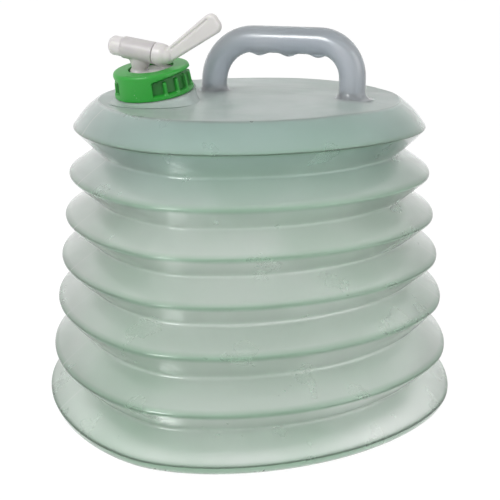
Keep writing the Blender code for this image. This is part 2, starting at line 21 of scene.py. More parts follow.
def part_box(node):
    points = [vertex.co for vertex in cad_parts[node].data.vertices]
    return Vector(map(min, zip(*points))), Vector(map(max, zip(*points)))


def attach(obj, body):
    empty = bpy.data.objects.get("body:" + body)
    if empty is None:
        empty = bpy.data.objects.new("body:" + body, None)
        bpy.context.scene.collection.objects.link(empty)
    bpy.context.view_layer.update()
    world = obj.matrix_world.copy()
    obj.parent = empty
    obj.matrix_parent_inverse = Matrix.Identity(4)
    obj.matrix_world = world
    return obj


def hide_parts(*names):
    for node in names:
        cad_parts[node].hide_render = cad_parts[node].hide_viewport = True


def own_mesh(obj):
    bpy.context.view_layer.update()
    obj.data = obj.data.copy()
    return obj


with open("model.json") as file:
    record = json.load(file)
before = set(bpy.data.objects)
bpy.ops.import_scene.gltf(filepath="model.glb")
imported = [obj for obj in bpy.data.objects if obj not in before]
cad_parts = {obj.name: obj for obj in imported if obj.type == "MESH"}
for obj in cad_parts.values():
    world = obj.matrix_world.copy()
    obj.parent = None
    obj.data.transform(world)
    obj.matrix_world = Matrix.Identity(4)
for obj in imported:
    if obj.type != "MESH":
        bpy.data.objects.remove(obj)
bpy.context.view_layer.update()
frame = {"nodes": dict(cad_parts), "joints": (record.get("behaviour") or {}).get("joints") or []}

TAU = 2.0 * math.pi
QUARTER = math.pi / 2.0
UP = Vector((0.0, 0.0, 1.0))
SHARP_ANGLE = math.radians(38.0)
MERGE = 0.000002            # points nearer than this become one
CUT_PAST = 0.002            # how far a cutter passes the face that it opens
CREST_SHADE_FADE = 0.0013         # how far in the painted shade of a crest fades

Triple = tuple[float, float, float]

log = logging.getLogger("water_container")


class Body(Enum):
    """Bodies of the part that pieces ride on."""

    BASE = "base"
    TOP = "top"
    TAP = "tap"
    RING = "ring"
    KEY = "key"


class Slot(Enum):
    """Material slots of the part's record."""

    BODY = "body_ldpe"
    HANDLE = "handle_ldpe"
    RING = "ring_plastic"
    TAP = "tap_plastic"
    KEY = "key_plastic"


# Shapes


def raised(height: float) -> Matrix:
    """A shift along Z."""
    return Matrix.Translation((0.0, 0.0, height))


def tilted(angle: float) -> Matrix:
    """A turn about Y."""
    return Matrix.Rotation(angle, 4, 'Y')


def widened(scale: float) -> Matrix:
    """A stretch across Z."""
    return Matrix.Diagonal((scale, scale, 1.0, 1.0))


def axes(origin: Vector, along_x: Vector, along_z: Vector) -> Matrix:
    """A frame of its own for a piece.

    Args:
        origin: where its origin lies.
        along_x: direction of its X axis.
        along_z: direction of its Z axis.

    Returns:
        The matrix that takes the frame's points to the part's.
    """
    x = along_x.normalized()
    z = along_z.normalized()
    matrix = Matrix((x, z.cross(x), z)).transposed().to_4x4()
    matrix.translation = origin
    return matrix


def joint_axis(name: str) -> tuple[Vector, Vector]:
    """Place and direction of a hinge of the part.

    Args:
        name: the joint's name.

    Returns:
        A point on the axis, and its direction.
    """
    joint = next(joint for joint in frame["joints"] if joint["name"] == name)
    return Vector(joint["pos_m"]), Vector(joint["axis"])


def seat_axes() -> Matrix:
    """The frame of the neck's leaning land, with Z up the neck."""
    point, axis = joint_axis("ring_turn")
    return axes(point, Vector((axis.z, 0.0, -axis.x)), axis)


def softened(corners: Sequence[Triple], steps: int) -> list[Vector]:
    """A chain through corners, with the inner ones rounded.

    Args:
        corners: across, up, and how far off the rounding starts; 0 leaves a corner sharp.
        steps: points on each rounding, less one.

    Returns:
        The points of the chain.
    """
    places = [Vector(corner[:2]) for corner in corners]
    points = [places[0]]
    for before, corner, after, (_, _, reach) in zip(places, places[1:], places[2:], corners[1:]):
        if reach == 0.0:
            points.append(corner)
            continue
        first = corner + (before - corner).normalized() * reach
        last = corner + (after - corner).normalized() * reach
        for step in range(steps + 1):
            share = step / steps
            points.append(first * (1.0 - share) ** 2 + corner * 2.0 * share * (1.0 - share)
                          + last * share ** 2)
    points.append(places[-1])
    return points


def divided(points: Sequence[Vector], longest: float) -> list[Vector]:
    """The chain with more points on its long stretches.

    Args:
        points: the chain.
        longest: the longest stretch that is left.

    Returns:
        The finer chain.
    """
    finer = [points[0]]
    for start, end in zip(points, points[1:]):
        count = max(1, math.ceil((end - start).length / longest))
        finer += [start.lerp(end, step / count) for step in range(1, count + 1)]
    return finer


def spun(points: Sequence[Vector], steps: int, closed: bool) -> BMesh:
    """A chain of (radius, height) points turned round Z.

    Args:
        points: the chain, open with its ends on the axis, or a closed section.
        steps: faces in one turn.
        closed: whether the last point joins the first.

    Returns:
        The closed surface.
    """
    bm = bmesh.new()
    row = [bm.verts.new((point.x, 0.0, point.y)) for point in points]
    edges = [bm.edges.new(pair) for pair in zip(row, row[1:])]
    if closed:
        edges.append(bm.edges.new((row[-1], row[0])))
    bmesh.ops.spin(bm, geom=row + edges, cent=(0.0, 0.0, 0.0), axis=UP, angle=TAU, steps=steps,
                   use_merge=True, use_duplicate=False)
    bmesh.ops.remove_doubles(bm, verts=bm.verts, dist=MERGE)
    bmesh.ops.recalc_face_normals(bm, faces=bm.faces)
    return bm


def rod(radius: float, start: float, end: float, matrix: Matrix, segments: int = 64,
        top: float | None = None) -> BMesh:
    """A cylinder or a cone along the Z axis of a frame.

    Args:
        radius: its radius.
        start: height of its lower end.
        end: height of its upper end.
        matrix: the frame.
        segments: faces round it.
        top: a cone's radius at its upper end.

    Returns:
        The closed solid.
    """
    bm = bmesh.new()
    bmesh.ops.create_cone(bm, cap_ends=True, segments=segments, radius1=radius,
                          radius2=radius if top is None else top, depth=end - start,
                          matrix=matrix @ raised((start + end) / 2.0))
    return bm


def ball(radius: float, matrix: Matrix, segments: int, rings: int) -> BMesh:
    """A sphere in a frame, with so many faces round it and from pole to pole."""
    bm = bmesh.new()
    bmesh.ops.create_uvsphere(bm, u_segments=segments, v_segments=rings, radius=radius,
                              matrix=matrix)
    return bm


def swept(places: Sequence[Matrix], radius: float, sides: int) -> tuple[BMesh, list[BMEdge]]:
    """A round tube's wall, extruded from place to place.

    Args:
        places: frames with Z along the way; a scaled one widens the tube there.
        radius: the tube's radius.
        sides: faces round it.

    Returns:
        The open wall, and the edges of its two end rings.
    """
    bm = bmesh.new()
    bmesh.ops.create_circle(bm, segments=sides, radius=radius, matrix=places[0])
    first = list(bm.edges)
    ring = first
    for before, after in zip(places, places[1:]):
        grown = bmesh.ops.extrude_edge_only(bm, edges=ring)["geom"]
        verts = [item for item in grown if isinstance(item, BMVert)]
        fresh = set(verts)
        ring = [item for item in grown if isinstance(item, BMEdge)
                and item.verts[0] in fresh and item.verts[1] in fresh]
        bmesh.ops.transform(bm, matrix=after @ before.inverted(), verts=verts)
    return bm, first + ring


def mesh_of(name: str, bm: BMesh) -> Mesh:
    """The data of a mesh, which is used up."""
    mesh = bpy.data.meshes.new(name)
    bm.to_mesh(mesh)
    bm.free()
    return mesh


def placed(name: str, data: bpy.types.ID) -> Object:
    """An object with this mesh, camera or lamp, linked to the scene."""
    item = bpy.data.objects.new(name, data)
    bpy.context.scene.collection.objects.link(item)
    return item


def joined(parts: Iterable[BMesh]) -> BMesh:
    """Several meshes as one.

    Args:
        parts: the meshes, which are used up.

    Returns:
        The mesh that holds them all.
    """
    whole = bmesh.new()
    for part in parts:
        mesh = mesh_of("part", part)
        whole.from_mesh(mesh)
        bpy.data.meshes.remove(mesh)
    return whole


def modified(bm: BMesh, kind: str, other: BMesh | None = None, **settings: object) -> BMesh:
    """A mesh after one modifier.

    Args:
        bm: the mesh, which is used up.
        kind: the modifier's type.
        other: the mesh that it works with, which is used up too.
        **settings: the modifier's settings.

    Returns:
        The evaluated mesh.
    """
    items = [placed("work", mesh_of("work", bm))]
    modifier = items[0].modifiers.new("Change", kind)
    if other is not None:
        items.append(placed("cutter", mesh_of("cutter", other)))
        modifier.object = items[1]
    for name, value in settings.items():
        setattr(modifier, name, value)
    bpy.context.view_layer.update()
    result = bmesh.new()
    result.from_object(items[0], bpy.context.evaluated_depsgraph_get())
    for item in items:
        bpy.data.objects.remove(item, do_unlink=True)
    return result


def cut(bm: BMesh, cutter: BMesh) -> BMesh:
    """A mesh less another; both are used up."""
    return modified(bm, 'BOOLEAN', cutter, operation='DIFFERENCE', solver='EXACT')


def moulded(parts: Iterable[BMesh], voxel: float, rounds: int) -> BMesh:
    """Overlapping solids run together as one moulding with soft corners.

    Args:
        parts: the solids, which are used up.
        voxel: fineness of the new surface.
        rounds: how often it is smoothed.

    Returns:
        The one closed surface.
    """
    result = modified(joined(parts), 'REMESH', mode='VOXEL', voxel_size=voxel)
    for _ in range(rounds):
        bmesh.ops.smooth_vert(result, verts=result.verts, factor=0.5, use_axis_x=True,
                              use_axis_y=True, use_axis_z=True)
    return result


def smoothstep(value: float) -> float:
    """0 below 0, 1 above 1, and an even rise between."""
    value = min(1.0, max(0.0, value))
    return value * value * (3.0 - 2.0 * value)


def crest_shade_share(radius: float, place: Vector) -> float:
    """Share of a crest's painted shade: 1 at this radius and outside it, and less further in."""
    inset = radius - math.hypot(place.x, place.y)
    return math.exp(-(max(0.0, inset) / CREST_SHADE_FADE) ** 2)


def painted(bm: BMesh, name: str, share_at: Callable[[Vector], float]) -> None:
    """Give each vertex a share that a finish reads, such as the painted shade along the crests.

    Args:
        bm: the mesh.
        name: the attribute's name.
        share_at: the share at a place.
    """
    layer = bm.verts.layers.float.new(name)
    for vert in bm.verts:
        vert[layer] = share_at(vert.co)


def finished(name: str, bm: BMesh, body: Body, material: Material,
             stands_for: Sequence[str] = ()) -> Object:
    """Make the piece's object, dress it and let it ride.

    Args:
        name: the piece's name.
        bm: its mesh, which is used up.
        body: what it rides on.
        material: its finish.
        stands_for: the CAD nodes that it replaces.

    Returns:
        The object.
    """
    mesh = mesh_of(name, bm)
    mesh.shade_smooth()
    mesh.set_sharp_from_angle(angle=SHARP_ANGLE)
    piece = placed(name, mesh)
    mesh.materials.append(material)
    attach(piece, body.value)
    if stands_for:
        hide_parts(*stands_for)
    log.info("%s: %d faces on %s", name, len(mesh.polygons), body.value)
    return piece


# Finishes

NODE_PITCH = 180.0
SPECK_COLOUR = (0.92, 0.93, 0.90, 1.0)
PLAIN = (1.0, 1.0, 1.0)
WHITE = (*PLAIN, 1.0)
PLASTIC_IOR = 1.5
SCATTER_RADIUS = (0.006, 0.007, 0.005)
SEAM_CORE = 0.003           # half widths of a parting line up the wall, in radians
SEAM_EDGE = 0.009
SEAM_STRENGTH = 0.8
RIDGE_HEIGHT = 0.00018      # of the parting line on the panel and the handle


class Nodes:
    """A node tree that is filled from left to right."""

    def __init__(self, tree: NodeTree) -> None:
        """Keep the tree and start the row."""
        self.tree = tree
        self.count = 0

    def add(self, kind: str, *values: object, **settings: object) -> Node:
        """Add a node.

        Args:
            kind: its type.
            *values: what to link or set, from its first input on.
            **settings: properties to set on it.

        Returns:
            The node.
        """
        node = self.tree.nodes.new(kind)
        node.location = (self.count * NODE_PITCH, 0.0)
        self.count += 1
        for name, value in settings.items():
            setattr(node, name, value)
        for value, socket in zip(values, node.inputs):
            self.put(value, socket)
        return node

    def put(self, value: object, socket: NodeSocket) -> None:
        """Link an output to a socket, or set the socket's own value."""
        if isinstance(value, NodeSocket):
            self.tree.links.new(value, socket)
        else:
            socket.default_value = value

    def math(self, operation: str, first: object, second: object = 0.0,
             clamp: bool = False) -> NodeSocket:
        """A Math node's result."""
        return self.add("ShaderNodeMath", first, second, operation=operation,
                        use_clamp=clamp).outputs[0]

    def ramp(self, value: object, low: float, high: float, to_low: float = 0.0,
             to_high: float = 1.0) -> NodeSocket:
        """A smooth step of a value from one range to another."""
        return self.add("ShaderNodeMapRange", value, low, high, to_low, to_high,
                        interpolation_type='SMOOTHSTEP').outputs[0]

    def mix(self, share: object, first: object, second: object, blend: str = 'MIX') -> NodeSocket:
        """A mix of two colours."""
        node = self.add("ShaderNodeMix", data_type='RGBA', blend_type=blend)
        self.put(share, node.inputs["Factor"])
        self.put(first, node.inputs[6])
        self.put(second, node.inputs[7])
        return node.outputs[2]

    def cloud(self, place: object, scale: float, detail: float = 2.0) -> NodeSocket:
        """Soft noise between 0 and 1."""
        node = self.add("ShaderNodeTexNoise", noise_dimensions='3D')
        self.put(place, node.inputs["Vector"])
        self.put(scale, node.inputs["Scale"])
        self.put(detail, node.inputs["Detail"])
        return node.outputs["Fac"]

    def place(self) -> NodeSocket:
        """The Object coordinates."""
        return self.add("ShaderNodeTexCoord").outputs["Object"]

    def place_along(self) -> dict[str, NodeSocket]:
        """The Object coordinates as X, Y and Z."""
        split = self.add("ShaderNodeSeparateXYZ", self.place())
        return {socket.name: socket for socket in split.outputs}


def surface_marks() -> NodeTree:
    """Shared effect: cloudy colour, uneven gloss, fine grain and a few specks of dust.

    Returns:
        The node group, which puts out a colour, a roughness and a height.
    """
    group = bpy.data.node_groups.new("surface_marks", "ShaderNodeTree")
    for way, kind, names in (
            ('INPUT', "Color", ("Colour", "Second Colour")),
            ('INPUT', "Float", ("Cloud Scale", "Roughness", "Unevenness", "Grain Scale", "Dust")),
            ('OUTPUT', "Color", ("Colour",)), ('OUTPUT', "Float", ("Roughness", "Height"))):
        for name in names:
            group.interface.new_socket(name=name, in_out=way, socket_type="NodeSocket" + kind)
    nodes = Nodes(group)
    given = nodes.add("NodeGroupInput").outputs
    where = nodes.place()
    cloud = nodes.cloud(where, given["Cloud Scale"], 3.0)
    shade = nodes.ramp(cloud, 0.35, 0.65)
    colour = nodes.mix(shade, given["Colour"], given["Second Colour"])
    specks = nodes.add("ShaderNodeTexVoronoi", feature='F1')
    nodes.put(where, specks.inputs["Vector"])
    nodes.put(given["Grain Scale"], specks.inputs["Scale"])
    speck = nodes.ramp(specks.outputs["Distance"], 0.04, 0.10, 1.0, 0.0)
    sparse = nodes.ramp(nodes.cloud(where, 60.0), 0.60, 0.66)
    dust = nodes.math('MULTIPLY', nodes.math('MULTIPLY', speck, sparse), given["Dust"], True)
    colour = nodes.mix(dust, colour, SPECK_COLOUR)
    uneven = nodes.math('MULTIPLY', nodes.math('SUBTRACT', nodes.cloud(where, 35.0, 4.0), 0.5),
                        given["Unevenness"])
    rough = nodes.math('ADD', given["Roughness"], uneven, True)
    grain = nodes.cloud(where, given["Grain Scale"], 3.0)
    result = nodes.add("NodeGroupOutput")
    nodes.put(colour, result.inputs["Colour"])
    nodes.put(rough, result.inputs["Roughness"])
    nodes.put(nodes.math('ADD', grain, dust), result.inputs["Height"])
    return group


@dataclass(frozen=True)
class Plastic:
    """A moulded plastic, from opaque to see-through."""

    name: str
    colour: Triple
    second: Triple
    roughness: float
    transmission: float = 0.0
    subsurface: float = 0.0
    coat: float = 0.0
    coat_roughness: float = 0.1
    cloud_scale: float = 18.0
    grain_scale: float = 500.0
    grain_depth: float = 0.00002
    unevenness: float = 0.15
    dust: float = 0.3
    # painted shade: an attribute mask, and the darker colour that it mixes into the base colour
    painted_shade_mask: str = ""
    painted_shade_colour: Triple = (0.5, 0.5, 0.5)
    parting_half_width: float = 0.0
    seams: tuple[float, ...] = ()       # azimuths in degrees
    # painted shade: the colour is multiplied darker towards the top, between these heights
    high_shade: Triple = PLAIN
    shade_low: float = 0.135
    shade_high: float = 0.207
    absorption: Triple = PLAIN
    density: float = 0.0

    def build(self, marks: NodeTree) -> Material:
        """Make the material.

        Args:
            marks: the shared group of surface marks.

        Returns:
            The material.
        """
        material = bpy.data.materials.new(self.name)
        material.use_nodes = True
        tree = material.node_tree
        nodes = Nodes(tree)
        shader = tree.nodes["Principled BSDF"]
        surface = nodes.add(
            "ShaderNodeGroup", (*self.colour, 1.0), (*self.second, 1.0), self.cloud_scale,
            self.roughness, self.unevenness, self.grain_scale, self.dust, node_tree=marks)
        colour = surface.outputs["Colour"]
        height = nodes.math('MULTIPLY', surface.outputs["Height"], self.grain_depth)
        # Painted shade: the colour darkens towards the top, by height.
        if self.high_shade != PLAIN:
            share = nodes.ramp(nodes.place_along()["Z"], self.shade_low, self.shade_high)
            colour = nodes.mix(share, colour, (*self.high_shade, 1.0), 'MULTIPLY')
        # Painted shade: darker along the body's crests and in the ring's pressed grips.
        if self.painted_shade_mask:
            mask = nodes.add("ShaderNodeAttribute", attribute_name=self.painted_shade_mask)
            colour = nodes.mix(mask.outputs["Fac"], colour, (*self.painted_shade_colour, 1.0))
        if self.parting_half_width:
            height = nodes.math('ADD', height, self.parting_line(nodes))
        for azimuth in self.seams:
            share = nodes.math('MULTIPLY', self.seam(nodes, azimuth), SEAM_STRENGTH)
            colour = nodes.mix(share, colour, WHITE)
        nodes.put(colour, shader.inputs["Base Color"])
        nodes.put(surface.outputs["Roughness"], shader.inputs["Roughness"])
        bump = nodes.add("ShaderNodeBump")
        bump.inputs["Distance"].default_value = 1.0
        nodes.put(height, bump.inputs["Height"])
        nodes.put(bump.outputs["Normal"], shader.inputs["Normal"])
        for name, value in (("IOR", PLASTIC_IOR), ("Transmission Weight", self.transmission),
                            ("Subsurface Weight", self.subsurface),
                            ("Subsurface Radius", SCATTER_RADIUS), ("Subsurface Scale", 1.0),
                            ("Coat Weight", self.coat), ("Coat Roughness", self.coat_roughness)):
            shader.inputs[name].default_value = value
        if self.density:
            depth = nodes.add("ShaderNodeVolumeAbsorption", (*self.absorption, 1.0), self.density)
            nodes.put(depth.outputs[0], tree.nodes["Material Output"].inputs["Volume"])
        material.diffuse_color = (*self.colour, 1.0)
        return material

    def seam(self, nodes: Nodes, azimuth: float) -> NodeSocket:
        """1 on a parting line up the wall at an azimuth, and 0 away from it."""
        place = nodes.place_along()
        angle = nodes.math('ARCTAN2', place["Y"], place["X"])
        away = nodes.math('ABSOLUTE', nodes.math('SUBTRACT', angle, math.radians(azimuth)))
        return nodes.ramp(away, SEAM_CORE, SEAM_EDGE, 1.0, 0.0)

    def parting_line(self, nodes: Nodes) -> NodeSocket:
        """Height of the fine ridge where the mould's halves met, in the plane of the handle."""
        away = nodes.math('ABSOLUTE', nodes.place_along()["Y"])
        return nodes.ramp(away, 0.0, self.parting_half_width, RIDGE_HEIGHT, 0.0)


PLASTICS = {
    # the body's colour carries painted shade: deep green along the crests, and darker towards the
    # top
    "body": Plastic(
        "soft_body_plastic", (0.80, 0.87, 0.82), (0.98, 0.98, 0.98), 0.30, transmission=0.93,
        coat=0.8, coat_roughness=0.08, cloud_scale=10.0, grain_depth=0.000006, dust=0.0,
        unevenness=0.2, seams=(8.0, -125.0), painted_shade_mask="crest", painted_shade_colour=(0.36, 0.56, 0.42),
        high_shade=(0.58, 0.71, 0.70), absorption=(0.64, 0.84, 0.68), density=130.0),
    "panel": Plastic(
        "frosted_panel_plastic", (0.62, 0.69, 0.67), (0.74, 0.78, 0.78), 0.40, transmission=0.60,
        cloud_scale=26.0, unevenness=0.25, dust=0.1, parting_half_width=0.0009,
        absorption=(0.60, 0.85, 0.66), density=90.0),
    "handle": Plastic(
        "handle_plastic", (0.68, 0.72, 0.76), (0.76, 0.79, 0.82), 0.33, transmission=0.84,
        coat=0.6, coat_roughness=0.08, parting_half_width=0.0007, grain_depth=0.000006, dust=0.0,
        absorption=(0.72, 0.76, 0.82), density=25.0),
    # the ring's colour carries painted shade: darker green in its pressed grips
    "ring": Plastic(
        "green_ring_plastic", (0.016, 0.30, 0.026), (0.019, 0.33, 0.031), 0.38, dust=0.9,
        painted_shade_mask="recess_shade", painted_shade_colour=(0.010, 0.15, 0.016)),
    "tap": Plastic(
        "milky_tap_plastic", (0.63, 0.61, 0.60), (0.70, 0.68, 0.66), 0.34, transmission=0.22,
        subsurface=0.3, cloud_scale=60.0),
    "key": Plastic(
        "white_key_plastic", (0.64, 0.62, 0.61), (0.67, 0.65, 0.64), 0.32, subsurface=0.3),
    "washer": Plastic(
        "washer_rubber", (0.03, 0.03, 0.03), (0.045, 0.045, 0.045), 0.75),
}


@dataclass(frozen=True)
class Finishes:
    """The materials of the whole container."""

    body: Material
    panel: Material
    handle: Material
    ring: Material
    tap: Material
    key: Material
    washer: Material

    @classmethod
    def mixed(cls) -> "Finishes":
        """Make every material."""
        marks = surface_marks()
        return cls(**{name: plastic.build(marks) for name, plastic in PLASTICS.items()})


# The body


@dataclass(frozen=True)
class Plan:
    """Outline of the body seen from above: a rounded diamond."""

    exponent: float = 1.78
    ratio: float = 1.08
    wobble: float = 0.0005
    wobble_round: float = 1.6
    wobble_up: float = 14.0

    def reach(self, angle: float) -> float:
        """Distance from the middle to the outline that is 1 wide to +X."""
        across = abs(math.cos(angle)) ** self.exponent
        along = (abs(math.sin(angle)) / self.ratio) ** self.exponent
        return (across + along) ** (-1.0 / self.exponent)

    def fit(self, bm: BMesh, reference: float, rim: float,
            half_x_at: Callable[[float], float]) -> None:
        """Turn a spun shape into one that follows the outline.

        Args:
            bm: a shape turned at the reference radius.
            reference: the radius that becomes the outline.
            rim: the width inside the outline that keeps its size; the rest is stretched.
            half_x_at: half width in X of the outline at a height.
        """
        for vert in bm.verts:
            radius = math.hypot(vert.co.x, vert.co.y)
            if radius < MERGE:
                continue
            angle = math.atan2(vert.co.y, vert.co.x)
            outline = half_x_at(vert.co.z) * self.reach(angle) + self.waver(angle, vert.co.z)
            inset = reference - radius
            if inset <= rim:
                radius = outline - inset
            else:
                radius *= (outline - rim) / (reference - rim)
            vert.co.x = radius * math.cos(angle)
            vert.co.y = radius * math.sin(angle)

    def waver(self, angle: float, level: float) -> float:
        """How far the soft wall strays inwards from its true outline, as a negative length."""
        place = Vector((math.cos(angle) * self.wobble_round, math.sin(angle) * self.wobble_round,
                        level * self.wobble_up))
        return -(0.5 + 0.5 * noise.noise(place)) * self.wobble


@dataclass
class AccordionBody:
    """The folding wall between the base and the top."""

    plan: Plan
    finishes: Finishes
    root_depth: float = 0.019
    root_reach: float = 0.0024
    crest_reach: float = 0.0019
    crest_push: float = 0.38
    wall_across: float = 0.0020
    bulge: float = 0.0005
    rounding_steps: int = 5
    longest: float = 0.0035
    steps: int = 240
    reference: float = 0.12
    travel: float = 0.143
    flank_count: int = 12
    seam_gap: float = 0.00003

    def __post_init__(self) -> None:
        """Read the hinge lines from the frame."""
        self.names = [f"flank_{number:02d}" for number in range(1, self.flank_count + 1)]
        boxes = [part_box(name) for name in self.names]
        self.levels = [box[0].z for box in boxes] + [boxes[-1][1].z]
        self.low_half_x = boxes[0][1].x
        self.top_half_x = boxes[-1][1].x

    def half_x_at(self, level: float) -> float:
        """Half width in X of the crests' outline at a height."""
        share = (level - self.levels[0]) / (self.levels[-1] - self.levels[0])
        return self.low_half_x + (self.top_half_x - self.low_half_x) * share

    def chain(self) -> list[Vector]:
        """Inset and height along the outside of the wall, from the lowest crest to the top one."""
        corners = [(0.0, self.levels[0] + self.seam_gap, 0.0)]
        for root, crest in zip(self.levels[1::2], self.levels[2::2]):
            corners.append((self.root_depth, root, self.root_reach))
            corners.append((-self.crest_reach * self.crest_push, crest, self.crest_reach))
        corners[-1] = (0.0, self.levels[-1] - self.seam_gap, 0.0)
        points = divided(softened(corners, self.rounding_steps), self.longest)
        return [self.swollen(point) for point in points]

    def swollen(self, point: Vector) -> Vector:
        """A point of a flank, with the slight bulge of a blown wall."""
        share = min(1.0, max(0.0, point.x / self.root_depth))
        return Vector((point.x - self.bulge * math.sin(math.pi * share), point.y))

    def build(self) -> None:
        """Make the wall in one piece, which rides on the base in place of the flanks."""
        outside = self.chain()
        inside = [Vector((point.x + self.wall_across, point.y)) for point in reversed(outside)]
        section = [Vector((self.reference - point.x, point.y)) for point in outside + inside]
        bm = spun(section, self.steps, closed=True)
        # Painted shade: this share darkens the colour to deep green along each crest.
        painted(bm, "crest", lambda place: crest_shade_share(self.reference, place))
        self.plan.fit(bm, self.reference, self.reference, self.half_x_at)
        piece = finished("accordion_wall", bm, Body.BASE, self.finishes.body, self.names)
        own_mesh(piece)


@dataclass
class Base:
    """The floor on its foot ring, up to the lowest crest."""

    wall: AccordionBody
    floor: float = 0.003
    thickness: float = 0.0014
    foot_outside: float = 0.0085
    foot_inside: float = 0.026
    rise_outside: float = 1.5
    rise_inside: float = 1.2
    heel_outside: tuple[float, float] = (0.0022, 0.45)  # inset, and height as a share
    heel_inside: tuple[float, float] = (0.0020, 0.55)
    rim: float = 0.034
    rounding_steps: int = 5
    longest: float = 0.012

    def build(self) -> None:
        """Make the base in one piece."""
        wall = self.wall
        crest = wall.levels[0] - wall.seam_gap
        half = self.thickness / 2.0
        top = self.floor + self.thickness
        corners = [
            (wall.reference, self.floor, 0.0),
            (self.foot_inside + self.floor * self.rise_outside, self.floor, 0.002),
            (self.foot_inside, 0.0, 0.0015),
            (self.foot_outside, 0.0, 0.003),
            (self.heel_outside[0], crest * self.heel_outside[1], 0.0022),
            (0.0, crest, 0.0),
            (wall.wall_across, crest, 0.0),
            (self.heel_inside[0] + wall.wall_across, crest * self.heel_inside[1], 0.001),
            (self.foot_outside + half, self.thickness, 0.003),
            (self.foot_inside - half, self.thickness, 0.001),
            (self.foot_inside + self.floor * self.rise_inside, top, 0.001),
            (wall.reference, top, 0.0),
        ]
        points = divided(softened(corners, self.rounding_steps), self.longest)
        section = [Vector((wall.reference - point.x, point.y)) for point in points]
        bm = spun(section, wall.steps, closed=False)
        # Painted shade: the colour darkens up the base's wall towards the lowest crest.
        painted(bm, "crest",
                lambda place: smoothstep(place.z / crest) if place.z > self.thickness else 0.0)
        wall.plan.fit(bm, wall.reference, self.rim, wall.half_x_at)
        finished("base_shell", bm, Body.BASE, wall.finishes.body, ["base_pan"])


